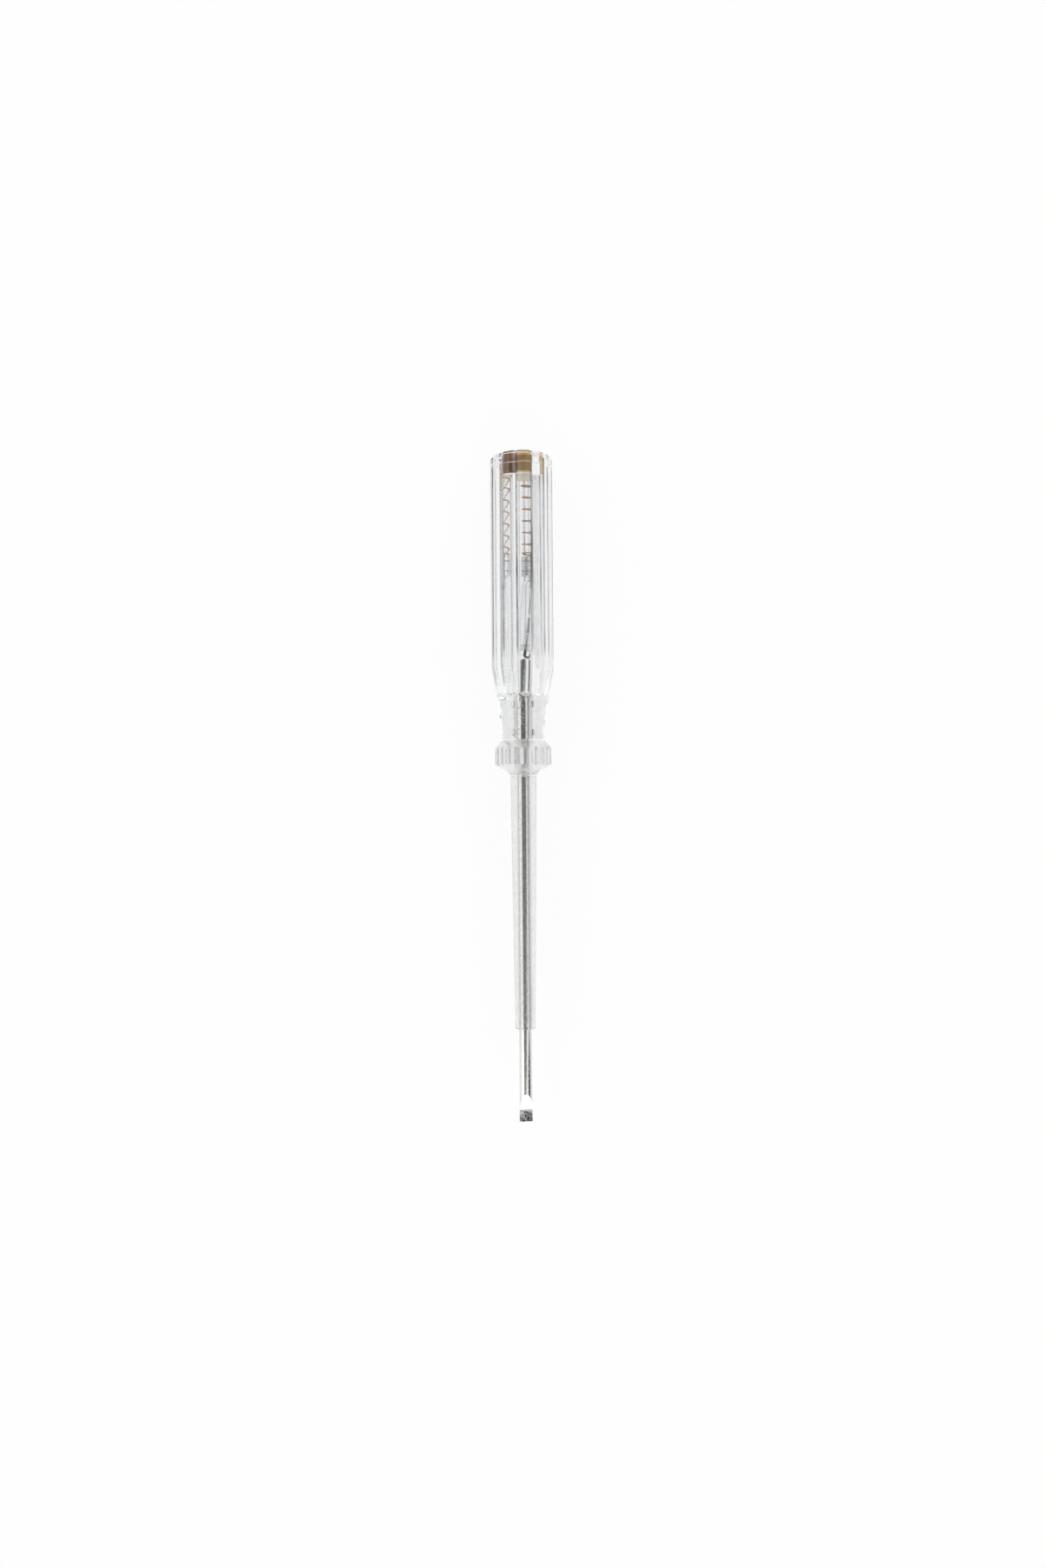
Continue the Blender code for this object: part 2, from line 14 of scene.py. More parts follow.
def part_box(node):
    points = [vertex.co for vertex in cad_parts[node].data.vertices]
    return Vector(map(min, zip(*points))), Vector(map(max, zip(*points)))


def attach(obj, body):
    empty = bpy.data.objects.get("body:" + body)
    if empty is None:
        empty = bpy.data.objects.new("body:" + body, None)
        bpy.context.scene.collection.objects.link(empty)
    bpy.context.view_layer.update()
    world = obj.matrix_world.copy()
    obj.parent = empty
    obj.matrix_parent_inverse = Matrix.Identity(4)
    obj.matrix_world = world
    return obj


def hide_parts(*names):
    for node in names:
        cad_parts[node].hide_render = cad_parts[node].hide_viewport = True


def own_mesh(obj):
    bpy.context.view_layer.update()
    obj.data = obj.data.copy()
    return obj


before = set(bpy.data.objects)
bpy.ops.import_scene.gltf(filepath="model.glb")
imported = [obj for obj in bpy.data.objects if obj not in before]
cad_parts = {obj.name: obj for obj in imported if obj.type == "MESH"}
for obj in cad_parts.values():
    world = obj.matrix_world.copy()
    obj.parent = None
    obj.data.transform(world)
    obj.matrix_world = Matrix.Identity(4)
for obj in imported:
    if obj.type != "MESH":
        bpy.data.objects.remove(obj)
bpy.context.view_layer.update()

# Places along the axis, from the frame
BLADE_LOW, BLADE_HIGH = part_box("blade")
SLEEVE_LOW, SLEEVE_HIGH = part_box("insulating_sleeve")
COLLAR_LOW, COLLAR_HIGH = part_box("guard_collar")
HANDLE_LOW, HANDLE_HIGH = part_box("handle_body")
CAP_LOW, CAP_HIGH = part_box("end_cap")
BEAD_LOW, BEAD_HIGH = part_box("solder_joint")
UPPER_CAP_LOW, UPPER_CAP_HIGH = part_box("resistor_upper_cap")
LOWER_CAP_LOW, LOWER_CAP_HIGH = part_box("resistor_lower_cap")
COAT_LOW, COAT_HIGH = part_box("resistor_coat")

TIP_END, TANG_TOP = BLADE_LOW.x, BLADE_HIGH.x
SLEEVE_START, SLEEVE_END = SLEEVE_LOW.x, SLEEVE_HIGH.x
COLLAR_START, COLLAR_END = COLLAR_LOW.x, COLLAR_HIGH.x
HANDLE_START, HANDLE_END = HANDLE_LOW.x, HANDLE_HIGH.x
CAP_START, CAP_END = CAP_LOW.x, CAP_HIGH.x
FLOOR_HEIGHT = HANDLE_LOW.z

# Blade
BLADE_RADIUS = 0.00185
TIP_HALF_THICKNESS = 0.00035
TIP_FLAT_LENGTH = 0.0035
GRIND_LENGTH = 0.0047
EAR_SIZE = (0.002, 0.0044, 0.0012)
EAR_CHAMFER = 0.0003
EAR_EDGE = 0.0012
BLADE_EDGE = 0.00008
END_CHAMFER = 0.0004

# Clear mouldings
AIR_BORE = 0.0020
GRIPPED_BORE = 0.00181
SLEEVE_END_RADIUS = 0.00295
SLEEVE_TOP_RADIUS = 0.0037
SLEEVE_ROUNDING = 0.0005
COLLAR_RADIUS = 0.0081
COLLAR_LOBES = 24
COLLAR_ROUNDING = 0.0005
COLLAR_BORE_ROUNDING = 0.0002
FLUTE_FLAT = 0.72
ROOT_BLEND = 2.2
HANDLE_RADIUS = 0.009
HANDLE_LOBES = 12
LOBE_ROUND = 0.00215
GROOVE_BLEND = 0.0007
FLUTE_START = -0.0008
FLUTE_RISE = 0.0014
CUT_BLEND = 0.00016
NECK_RADIUS = 0.00585
TAPER_LENGTH = 0.0224
RIM_ROUNDING = 0.001
BORE_ROUNDING = 0.00035
LOBE_STEP = math.tau / HANDLE_LOBES
LOBE_MIDDLE = HANDLE_RADIUS - LOBE_ROUND
GROOVE_RADIUS = (LOBE_MIDDLE * math.cos(LOBE_STEP / 2)
                 + math.sqrt(LOBE_ROUND ** 2 - (LOBE_MIDDLE * math.sin(LOBE_STEP / 2)) ** 2)
                 + GROOVE_BLEND / 4)
NECK_PLUG_LENGTH = 0.0125
LAMP_BORE_RADIUS = 0.0048
FLOOR_CHAMFER = 0.0008
BORE_FLOOR = HANDLE_START + NECK_PLUG_LENGTH

# End cap
CAP_RIM_RADIUS = 0.0054
CAP_RIM_LENGTH = 0.0025
CAP_PLUG_RADIUS = 0.0051
PLUG_CHAMFER = 0.0003
CAP_ROUNDING = 0.00012
SLIP_GAP = 0.0002
SEAT_GAP = 0.0003
CAP_STEP = CAP_END - CAP_RIM_LENGTH

# Spring
STACK_OFFSET = 0.0015
SPRING_WIRE = 0.000175
SPRING_RADIUS = 0.0026
SPRING_WIDE_RADIUS = 0.0028
SPRING_OPEN_TURNS = 5.5
SPRING_CLOSED_LEAD = 0.0008
SPRING_WIDE_LEAD = 0.0029
SPRING_TURN_POINTS = 48

# Resistor and solder
RESISTOR_RADIUS = 0.0029
RESISTOR_HOLE = 0.0004
RESISTOR_WALL = 0.0003
RESISTOR_SKIRT = 0.00255
LEAD_RADIUS = 0.00025
RESISTOR_STUB = 0.0012
COAT_ROUNDING = 0.0002
FERRULE_ROUNDING = 0.00018

# Lamp
LAMP_LEAN = math.radians(6.5)
LAMP_LENGTH = 0.02
LAMP_RADIUS = 0.0028
LAMP_WALL = 0.00035
LAMP_MOUTH = 0.0015
LAMP_SHOULDER = 0.0021
SEAL_LENGTH = 0.0018
SEAL_ROUNDING = 0.0003
FINE_GAP = 0.00015
LAMP_LEAD = 0.0002
HOOK_WIRE = 0.00025
HOOK_RADIUS = 0.00065
HOOK_SHANK = 0.0012
HOOK_TURN = 208
HOOK_TURN_STEP = 8
ELECTRODE_RADIUS = 0.00045
ELECTRODE_LENGTH = 0.0045
ELECTRODE_SPACE = 0.0011
ELECTRODE_ROUNDING = 0.00025

BEAD_MIDDLE = (BEAD_LOW.x + BEAD_HIGH.x) / 2
LAMP_TOP = BEAD_LOW.x - SLIP_GAP
LAMP_BOTTOM = LAMP_TOP - LAMP_LENGTH
HOOK_CENTRE = LAMP_BOTTOM - HOOK_SHANK
ELECTRODES_MIDDLE = (LAMP_TOP + LAMP_BOTTOM) / 2

ON_AXIS = Matrix.Identity(4)
BESIDE_AXIS = Matrix.Translation((0.0, STACK_OFFSET, 0.0))
LEANING = (Matrix.Translation((BEAD_MIDDLE, STACK_OFFSET, 0.0))
           @ Matrix.Rotation(LAMP_LEAN, 4, "Z")
           @ Matrix.Translation((-BEAD_MIDDLE, 0.0, 0.0)))

SMOOTH_ANGLE = math.radians(32)
GRIND_ANGLE = math.radians(20)
BEAD_ANGLE = math.radians(80)
CORNER_SHARE = 0.45

# Looks: refraction, and where one look turns to another
PLASTIC_INDEX = 1.49
GLASS_INDEX = 1.51
LOOK_EDGE = 0.0001
NECK_BLUR = 0.0004
# Painted shade in the handle's grooves: how far it reaches from the axis, where it stops short of
# the bore and where it runs out
GROOVE_SHADE_REACH = GROOVE_RADIUS + 0.0002
BORE_SHADE_LIMIT = CAP_RIM_RADIUS + 0.0005
GROOVE_SHADE_RUN_OUT = 0.002
BARE_TIP = TIP_FLAT_LENGTH + 0.0006
BARE_TIP_BLUR = 0.0004
# Painted shade on one side of the tang in the bore
BLADE_SHADE_SIDE = -0.00051
BLADE_SHADE_BLUR = 0.00005
# Painted shade on one side of the cap
CAP_SHADE_SIDE = 0.0021
CAP_SHADE_BLUR = 0.0009
HOOK_BLUR = 0.0003


# ---- Mesh building

def solid(name, points, faces, place=ON_AXIS, sharp=SMOOTH_ANGLE):
    """Closed mesh object with outward faces, smooth except across its sharp edges."""
    mesh = bpy.data.meshes.new(name)
    mesh.from_pydata(points, [], faces)
    work = bmesh.new()
    work.from_mesh(mesh)
    bmesh.ops.recalc_face_normals(work, faces=work.faces)
    work.to_mesh(mesh)
    work.free()
    mesh.transform(place)
    mesh.shade_smooth()
    mesh.set_sharp_from_angle(angle=sharp)
    item = bpy.data.objects.new(name, mesh)
    bpy.context.scene.collection.objects.link(item)
    return item


def soften(profile, size, steps=4, closed=True):
    """Round each corner of an (x, radius) profile by up to size."""
    count = len(profile)
    result = []
    for i, point in enumerate(profile):
        if not closed and i in (0, count - 1):
            result.append(point)
            continue
        here = np.array(point)
        before = np.array(profile[i - 1]) - here
        after = np.array(profile[(i + 1) % count]) - here
        back, ahead = np.linalg.norm(before), np.linalg.norm(after)
        cut = min(size, CORNER_SHARE * min(back, ahead))
        start = here + before / back * cut
        end = here + after / ahead * cut
        for k in range(steps + 1):
            t = k / steps
            corner = start * (1 - t) ** 2 + here * 2 * t * (1 - t) + end * t ** 2
            result.append((corner[0], corner[1]))
    return result


def ring_points(x, radii, angles):
    """Points round the axis at x, one for each radius and angle."""
    return [(x, r * math.sin(a), r * math.cos(a)) for r, a in zip(radii, angles)]


def joined_rings(count, size, closed):
    """Quads between neighbouring rings of size points, and from the last ring to the first."""
    faces = []
    for i in range(count if closed else count - 1):
        j = (i + 1) % count
        for k in range(size):
            m = (k + 1) % size
            faces.append((i * size + k, i * size + m, j * size + m, j * size + k))
    return faces


def turned(name, profile, steps=64, place=ON_AXIS, sharp=SMOOTH_ANGLE):
    """Solid of revolution about X. A profile with both ends on the axis is closed by fans."""
    angles = [math.tau * k / steps for k in range(steps)]
    on_axis = profile[0][1] == 0
    inner = profile[1:-1] if on_axis else profile
    points = []
    for x, radius in inner:
        points += ring_points(x, [radius] * steps, angles)
    faces = joined_rings(len(inner), steps, not on_axis)
    if on_axis:
        for end, first in ((profile[0], 0), (profile[-1], (len(inner) - 1) * steps)):
            points.append((end[0], 0.0, 0.0))
            pole = len(points) - 1
            faces += [(pole, first + k, first + (k + 1) % steps) for k in range(steps)]
    return solid(name, points, faces, place, sharp)


def wire(name, path, radius, sides=16, place=ON_AXIS):
    """Round wire along a path, with domed ends."""
    path = [Vector(p) for p in path]
    tangents = []
    for i in range(len(path)):
        ahead = path[min(i + 1, len(path) - 1)] - path[max(i - 1, 0)]
        tangents.append(ahead.normalized())
    side = tangents[0].orthogonal().normalized()
    points = []
    stations = [(centre, tangent, radius) for centre, tangent in zip(path, tangents)]
    first, last = path[0], path[-1]
    for turn in (30, 60):
        bend = math.radians(turn)
        out, shrink = radius * math.sin(bend), radius * math.cos(bend)
        stations.insert(0, (first - tangents[0] * out, tangents[0], shrink))
        stations.append((last + tangents[-1] * out, tangents[-1], shrink))
    for centre, tangent, reach in stations:
        side = (side - tangent * side.dot(tangent)).normalized()
        other = tangent.cross(side)
        for k in range(sides):
            a = math.tau * k / sides
            points.append(centre + (side * math.cos(a) + other * math.sin(a)) * reach)
    faces = joined_rings(len(stations), sides, False)
    for centre, base in ((first - tangents[0] * radius, 0),
                         (last + tangents[-1] * radius, (len(stations) - 1) * sides)):
        points.append(centre)
        pole = len(points) - 1
        faces += [(pole, base + k, base + (k + 1) % sides) for k in range(sides)]
    return solid(name, points, faces, place)


def soft_least(a, b, blend):
    """Smaller of two values, rounded where they cross."""
    mix = min(max(0.5 + 0.5 * (b - a) / blend, 0.0), 1.0)
    return b + (a - b) * mix - blend * mix * (1 - mix)


def lobe_angles(count, shares):
    """Angles round a fluted moulding; shares run from a lobe's middle to its groove."""
    half = math.pi / count
    across = [-s for s in reversed(shares)] + shares[1:-1]
    return [2 * half * number + share * half for number in range(count) for share in across]


def lobe_radius(angle, count, flat, crown, groove_width, groove_depth, edge):
    """Outline of a fluted moulding: flats with rounded V grooves between them."""
    half = math.pi / count
    local = (angle + half) % (2 * half) - half
    corner = flat * math.tan(half)
    across = abs(flat * math.tan(local))
    start = corner - groove_width / 2
    level = FLUTE_FLAT * start
    swell = min(max((across - level) / (start - level), 0.0), 1.0)
    out = flat - crown * swell * swell
    root_gap = math.hypot(corner - across, edge) - edge
    slope = groove_depth / (groove_width / 2)
    rise = flat - crown - groove_depth + slope * root_gap
    return soft_least(out, rise, ROOT_BLEND * edge) / math.cos(local)


def along(shares, t):
    """Value at t on straight lines through (place, value) pairs."""
    for (a, low), (b, high) in zip(shares, shares[1:]):
        if t <= b:
            return low + (high - low) * (t - a) / (b - a)
    return shares[-1][1]


def fluted(name, stations, angles, outline, inner):
    """Moulding with a fluted outside, of outline(angle, x, reach), and a turned bore."""
    points = []
    for x, reach in stations:
        points += ring_points(x, [outline(a, x, reach) for a in angles], angles)
    for x, radius in inner:
        points += ring_points(x, [radius] * len(angles), angles)
    count = len(stations) + len(inner)
    return solid(name, points, joined_rings(count, len(angles), True))


# ---- Materials

def math_node(tree, kind, first, second=None):
    """Output of a math node. Each input is a socket or a plain number."""
    node = tree.nodes.new("ShaderNodeMath")
    node.operation = kind
    for socket, value in zip(node.inputs, (first, second)):
        if isinstance(value, (int, float)):
            socket.default_value = value
        elif value is not None:
            tree.links.new(value, socket)
    return node.outputs[0]


class Look:
    """Node material with one Principled shader and small helpers for its detail."""

    def __init__(self, name, color, roughness, metallic=0.0, transmission=0.0, ior=1.5):
        self.material = bpy.data.materials.new(name)
        self.material.use_nodes = True
        self.tree = self.material.node_tree
        self.nodes, self.links = self.tree.nodes, self.tree.links
        self.shader = self.nodes["Principled BSDF"]
        self.shader.inputs["Base Color"].default_value = (*color, 1.0)
        self.shader.inputs["Roughness"].default_value = roughness
        self.shader.inputs["Metallic"].default_value = metallic
        self.shader.inputs["Transmission Weight"].default_value = transmission
        self.shader.inputs["IOR"].default_value = ior
        self.place = self.nodes.new("ShaderNodeTexCoord").outputs["Object"]

    def stretched(self, scale):
        spread = self.nodes.new("ShaderNodeMapping")
        spread.inputs["Scale"].default_value = scale
        self.links.new(self.place, spread.inputs["Vector"])
        return spread.outputs["Vector"]

    def noise(self, scale, detail=4.0, stretch=(1, 1, 1), rough=0.55):
        grain = self.nodes.new("ShaderNodeTexNoise")
        grain.inputs["Scale"].default_value = scale
        grain.inputs["Detail"].default_value = detail
        grain.inputs["Roughness"].default_value = rough
        self.links.new(self.stretched(stretch), grain.inputs["Vector"])
        return grain.outputs["Fac"]

    def axes(self):
        """X, Y and Z of the place on the tool."""
        split = self.nodes.new("ShaderNodeSeparateXYZ")
        self.links.new(self.place, split.inputs["Vector"])
        return split.outputs

    def from_axis(self):
        """Distance from the tool's axis."""
        reach = self.nodes.new("ShaderNodeVectorMath")
        reach.operation = "LENGTH"
        self.links.new(self.stretched((0, 1, 1)), reach.inputs[0])
        return reach.outputs["Value"]

    def spread(self, value, low, high, start=0.0, end=1.0):
        """Map a value between start and end to a range."""
        ramp = self.nodes.new("ShaderNodeMapRange")
        ramp.interpolation_type = "SMOOTHSTEP"
        ramp.inputs["From Min"].default_value = start
        ramp.inputs["From Max"].default_value = end
        ramp.inputs["To Min"].default_value = low
        ramp.inputs["To Max"].default_value = high
        self.links.new(value, ramp.inputs["Value"])
        return ramp.outputs["Result"]

    def past(self, value, limit, blur):
        """0 below a limit and 1 above it, with a soft edge."""
        return self.spread(value, 0.0, 1.0, limit - blur, limit + blur)

    def short_of(self, value, limit, blur):
        """1 below a limit and 0 above it, with a soft edge."""
        return self.spread(value, 1.0, 0.0, limit - blur, limit + blur)

    def product(self, first, second):
        return math_node(self.tree, "MULTIPLY", first, second)

    def sum(self, first, second, first_share=1.0, second_share=1.0):
        """Sum of two values, each times its share."""
        return math_node(self.tree, "ADD", self.product(first, first_share),
                         self.product(second, second_share))

    def over(self, base, top, factor):
        """Colour that turns from base to top. Both are sockets or plain colours."""
        mix = self.nodes.new("ShaderNodeMix")
        mix.data_type = "RGBA"
        for name, color in (("A", base), ("B", top)):
            if isinstance(color, tuple):
                mix.inputs[name].default_value = (*color, 1.0)
            else:
                self.links.new(color, mix.inputs[name])
        self.links.new(factor, mix.inputs["Factor"])
        return mix.outputs["Result"]

    def mottled(self, value, tones, start=0.3, end=0.7):
        """Colour between two tones."""
        return self.over(*tones, self.spread(value, 0.0, 1.0, start, end))

    def paint(self, color):
        self.links.new(color, self.shader.inputs["Base Color"])

    def roughness(self, value, rough):
        self.links.new(self.spread(value, *rough, 0.3, 0.7), self.shader.inputs["Roughness"])

    def bump(self, value, depth):
        relief = self.nodes.new("ShaderNodeBump")
        relief.inputs["Distance"].default_value = depth
        relief.inputs["Strength"].default_value = 1.0
        self.links.new(value, relief.inputs["Height"])
        self.links.new(relief.outputs["Normal"], self.shader.inputs["Normal"])


def clear_look(name, tones, rough, wave_depth, scuff_depth, ior=PLASTIC_INDEX, clear=1.0):
    """Clear plastic or glass with slight waves, fine lengthwise scuffs and uneven gloss.

    Returns the look and its colour.
    """
    look = Look(name, tones[0], rough[0], transmission=clear, ior=ior)
    flow = look.noise(170.0, 2.0, (0.35, 1.0, 1.0))
    scuff = look.noise(1500.0, 3.0, (0.12, 1.0, 1.0))
    color = look.mottled(flow, tones)
    look.paint(color)
    look.roughness(look.noise(520.0, 5.0), rough)
    look.bump(look.sum(flow, scuff, wave_depth / scuff_depth), scuff_depth)
    return look, color


def handle_look():
    """Clear moulded plastic, greyer in the solid neck, with uneven painted shade along its
    grooves.
    """
    look, color = clear_look(
        "handle_plastic", ((0.91, 0.915, 0.92), (0.94, 0.945, 0.95)), (0.015, 0.06),
        wave_depth=0.000012, scuff_depth=0.0000018)
    x = look.axes()["X"]
    reach = look.from_axis()
    color = look.over(color, (0.80, 0.805, 0.81), look.short_of(x, BORE_FLOOR, NECK_BLUR))
    # Painted shade: near black in the grooves along the barrel, uneven along them
    groove_shade = look.spread(look.noise(260.0, 3.0, (0.2, 1.0, 1.0)), 0.55, 1.0, 0.35, 0.65)
    for limit in (look.short_of(reach, GROOVE_SHADE_REACH, LOOK_EDGE),
                  look.past(reach, BORE_SHADE_LIMIT, LOOK_EDGE),
                  look.past(x, HANDLE_START + TAPER_LENGTH + GROOVE_SHADE_RUN_OUT, GROOVE_SHADE_RUN_OUT),
                  look.short_of(x, HANDLE_END - RIM_ROUNDING - LOOK_EDGE, LOOK_EDGE)):
        groove_shade = look.product(groove_shade, limit)
    look.paint(look.over(color, (0.04, 0.04, 0.045), groove_shade))
    return look.material


def metal_look(name, tones, rough, depth, stretch=(0.1, 1.0, 1.0), scale=2200.0):
    """Bare or plated metal: drawing lines, a mottled tone and uneven gloss."""
    look = Look(name, tones[0], rough[0], metallic=1.0)
    lines = look.noise(scale, 4.0, stretch)
    mottle = look.noise(430.0, 5.0)
    look.paint(look.mottled(mottle, tones))
    look.roughness(look.sum(lines, mottle, 0.5, 0.5), rough)
    look.bump(lines, depth)
    return look.material


def blade_look():
    """Plated rod, bare at its ground tip and spotted in the neck; above the neck the plating is
    painted brighter, with painted shade on one side.
    """
    look = Look("blade_steel", (0.76, 0.75, 0.73), 0.1, metallic=1.0)
    lines = look.noise(2600.0, 4.0, (0.06, 1.0, 1.0))
    spots = look.noise(1500.0, 6.0, (0.8, 1.0, 1.0), 0.7)
    x, y, _ = look.axes()
    in_bore = look.past(x, BORE_FLOOR, LOOK_EDGE)
    # Inside the bore the plating is painted brighter as a painted highlight, and painted shade
    # darkens one side of the tang
    shaded_tang_side = look.short_of(look.sum(y, spots, 1.0, 0.0003), BLADE_SHADE_SIDE, BLADE_SHADE_BLUR)
    plated = look.mottled(spots, ((0.70, 0.69, 0.67), (0.88, 0.87, 0.85)))
    plated = look.over(plated, (0.98, 0.975, 0.97), in_bore)
    plated = look.over(plated, (0.28, 0.275, 0.27), look.product(in_bore, shaded_tang_side))
    bare = look.mottled(spots, ((0.70, 0.69, 0.68), (0.045, 0.043, 0.04)), 0.44, 0.60)
    in_neck = look.product(look.past(x, HANDLE_START, LOOK_EDGE),
                           look.short_of(x, BORE_FLOOR, LOOK_EDGE))
    etched = look.product(in_neck, look.spread(spots, 0.0, 1.0, 0.50, 0.60))
    ragged = look.sum(x, spots, 1.0, 0.0012)
    at_tip = look.short_of(ragged, BARE_TIP, BARE_TIP_BLUR)
    look.paint(look.over(plated, bare, look.sum(at_tip, etched, 1.0, 0.3)))
    worn = look.sum(look.spread(spots, 0.07, 0.20, 0.35, 0.65), at_tip, 1.0, 0.22)
    look.links.new(look.sum(worn, etched, 1.0, 0.20), look.shader.inputs["Roughness"])
    look.bump(look.sum(lines, spots, 1.0, 0.6), 0.000003)
    return look.material


def brass_look():
    """Turned brass, with painted shade, dark brown, along one side and a painted highlight on its
    flat lower end.
    """
    look = Look("cap_brass", (0.76, 0.56, 0.30), 0.2, metallic=1.0)
    lines = look.noise(2200.0, 4.0, (1.0, 0.05, 0.05))
    mottle = look.noise(430.0, 5.0)
    x, y, _ = look.axes()
    side = look.sum(y, mottle, 1.0, 0.003)
    outer_face = look.spread(x, 0.0, -0.01, CAP_END - 0.0004, CAP_END - 0.0001)
    color = look.mottled(mottle, ((0.98, 0.68, 0.32), (0.86, 0.55, 0.22)))
    # Painted shade: dark brown along one side of the cap, kept off its outer end
    shaded_cap_side = look.past(look.sum(side, outer_face), CAP_SHADE_SIDE, CAP_SHADE_BLUR)
    color = look.over(color, (0.24, 0.105, 0.03), shaded_cap_side)
    # Painted highlight: pale on the plug's flat lower end
    color = look.over(color, (0.90, 0.85, 0.74), look.short_of(x, CAP_START + 0.00005, 0.00003))
    look.paint(color)
    look.roughness(look.sum(lines, mottle, 0.5, 0.5), (0.32, 0.50))
    look.bump(lines, 0.000003)
    return look.material


def hook_look():
    """Lamp's lower lead: dark outside the glass and bright inside it."""
    look = Look("hook_wire", (0.24, 0.23, 0.22), 0.4, metallic=1.0)
    mottle = look.noise(430.0, 5.0)
    dark = look.mottled(mottle, ((0.24, 0.23, 0.22), (0.14, 0.13, 0.13)))
    sealed = look.past(look.axes()["X"], LAMP_BOTTOM + HOOK_BLUR, HOOK_BLUR)
    look.paint(look.over(dark, (0.80, 0.79, 0.78), sealed))
    look.roughness(mottle, (0.30, 0.50))
    return look.material


def lacquer_look():
    """Grey metallic resistor lacquer with a slight orange peel."""
    look = Look("resistor_lacquer", (0.42, 0.43, 0.44), 0.2, metallic=0.8)
    peel = look.noise(900.0, 4.0)
    look.paint(look.mottled(peel, ((0.76, 0.77, 0.78), (0.86, 0.87, 0.88))))
    look.roughness(peel, (0.22, 0.38))
    look.bump(peel, 0.000015)
    return look.material


def ceramic_look():
    """Matte ceramic with a fine grain."""
    look = Look("resistor_ceramic", (0.75, 0.72, 0.66), 0.6)
    grain = look.noise(1600.0, 5.0)
    look.paint(look.mottled(grain, ((0.70, 0.67, 0.61), (0.79, 0.76, 0.70))))
    look.bump(grain, 0.000005)
    return look.material


handle_plastic = handle_look()
collar_plastic = clear_look(
    "collar_plastic", ((0.86, 0.865, 0.865), (0.90, 0.905, 0.905)), (0.10, 0.20),
    wave_depth=0.00001, scuff_depth=0.000002, clear=0.9)[0].material
sleeve_plastic = clear_look(
    "sleeve_plastic", ((0.90, 0.90, 0.90), (0.93, 0.93, 0.93)), (0.10, 0.18),
    wave_depth=0.000006, scuff_depth=0.000002, clear=0.96)[0].material
lamp_glass = clear_look(
    "lamp_glass", ((0.98, 0.985, 0.985), (0.96, 0.965, 0.97)), (0.0, 0.02),
    wave_depth=0.000003, scuff_depth=0.0000005, ior=GLASS_INDEX)[0].material
seal_glass = clear_look(
    "seal_glass", ((0.80, 0.84, 0.82), (0.72, 0.75, 0.74)), (0.03, 0.12),
    wave_depth=0.00001, scuff_depth=0.000002, ior=GLASS_INDEX)[0].material
bronze = metal_look(
    "spring_bronze", ((0.52, 0.29, 0.13), (0.42, 0.23, 0.10)), (0.26, 0.40), 0.000002)
tin = metal_look(
    "tinned_steel", ((0.82, 0.82, 0.83), (0.68, 0.68, 0.69)), (0.18, 0.34), 0.000003)
dark_wire = metal_look(
    "lead_wire", ((0.24, 0.23, 0.22), (0.14, 0.13, 0.13)), (0.30, 0.50), 0.000003)
bright_wire = metal_look(
    "tinned_wire", ((0.66, 0.65, 0.64), (0.52, 0.51, 0.50)), (0.24, 0.42), 0.000003)
solder = metal_look(
    "solder", ((0.58, 0.58, 0.59), (0.44, 0.44, 0.45)), (0.22, 0.42), 0.000012,
    stretch=(1.0, 1.0, 1.0), scale=1300.0)
nickel = metal_look(
    "electrode_nickel", ((0.78, 0.77, 0.76), (0.66, 0.65, 0.64)), (0.30, 0.48), 0.000004)
blade_steel = blade_look()
brass = brass_look()
lacquer = lacquer_look()
hook_wire = hook_look()
ceramic = ceramic_look()


def dress(item, material, body, slot, *nodes):
    """Give a piece its material and its body, and hide the solids that it stands for. Its slot is
    not used.
    """
    item.data.materials.clear()
    item.data.materials.append(material)
    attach(item, body)
    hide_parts(*nodes)


# ---- Blade

def cut(item, points, faces):
    """Take a convex block away from a solid."""
    block = solid("grind_block", points, faces)
    step = item.modifiers.new("grind", "BOOLEAN")
    step.operation = "DIFFERENCE"
    step.solver = "EXACT"
    step.object = block
    view = bpy.context.evaluated_depsgraph_get()
    mesh = bpy.data.meshes.new_from_object(item.evaluated_get(view))
    item.modifiers.clear()
    item.data = mesh
    bpy.data.objects.remove(block, do_unlink=True)


def wedge(side):
    """Block above or below the blade's tip: parallel to the axis, then sloping out."""
    far = 0.003
    rise = far - TIP_HALF_THICKNESS
    slope_end = TIP_FLAT_LENGTH + rise * GRIND_LENGTH / (BLADE_RADIUS - TIP_HALF_THICKNESS)
    flat = [(-far, TIP_HALF_THICKNESS), (TIP_FLAT_LENGTH, TIP_HALF_THICKNESS),
            (slope_end, far), (-far, far)]
    points = [(x, y, z * side) for y in (-far, far) for x, z in flat]
    faces = [(0, 1, 2, 3), (4, 5, 6, 7), (0, 1, 5, 4), (1, 2, 6, 5), (2, 3, 7, 6), (3, 0, 4, 7)]
    return points, faces


def chamfered_block(name, centre, size, edge):
    """Convex mesh of a block with chamfered edges and corners."""
    half = [s / 2 for s in size]
    corners = [(x, y, z) for x in (-1, 1) for y in (-1, 1) for z in (-1, 1)]
    points = [[c * (h - edge * (axis != k)) + p
               for k, (c, h, p) in enumerate(zip(corner, half, centre))]
              for corner in corners for axis in range(3)]
    mesh = bpy.data.meshes.new(name)
    work = bmesh.new()
    for point in points:
        work.verts.new(point)
    bmesh.ops.convex_hull(work, input=work.verts)
    work.to_mesh(mesh)
    work.free()
    return mesh


